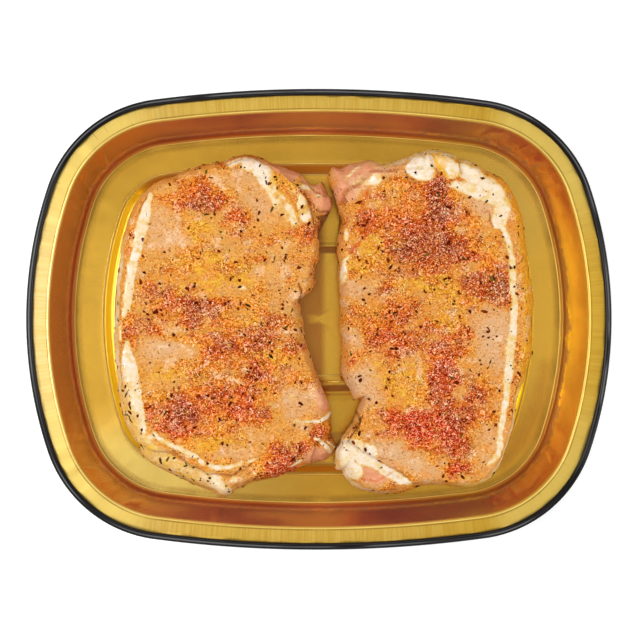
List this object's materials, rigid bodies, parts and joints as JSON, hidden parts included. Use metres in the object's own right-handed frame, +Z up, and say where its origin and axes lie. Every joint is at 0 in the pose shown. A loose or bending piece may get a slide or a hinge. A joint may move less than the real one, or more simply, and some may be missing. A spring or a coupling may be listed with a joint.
{
  "type": "meat tray pack",
  "caption": "Rolled-edge foil tray, gold inside and black outside, holding seasoned raw pork loin chops side by side.",
  "frame": {"origin": "middle of the tray's base, on the plane it stands on", "axes": "+X along the tray's length, from the left chop to the right chop; +Y along its width, toward the end of the chops with the white fat lobe; +Z up, out of the open tray"},
  "size_m": [0.235, 0.185, 0.036],
  "materials": {
    "gold_foil": "satin gold lacquer inside, gloss black lacquer outside",
    "seasoned_meat_left": "moist oiled meat with granular spice",
    "seasoned_meat_right": "moist oiled meat with granular spice"
  },
  "bodies": {
    "root": {"tray": "gold_foil", "chop_left": "seasoned_meat_left", "chop_right": "seasoned_meat_right"}
  },
  "joints": []
}
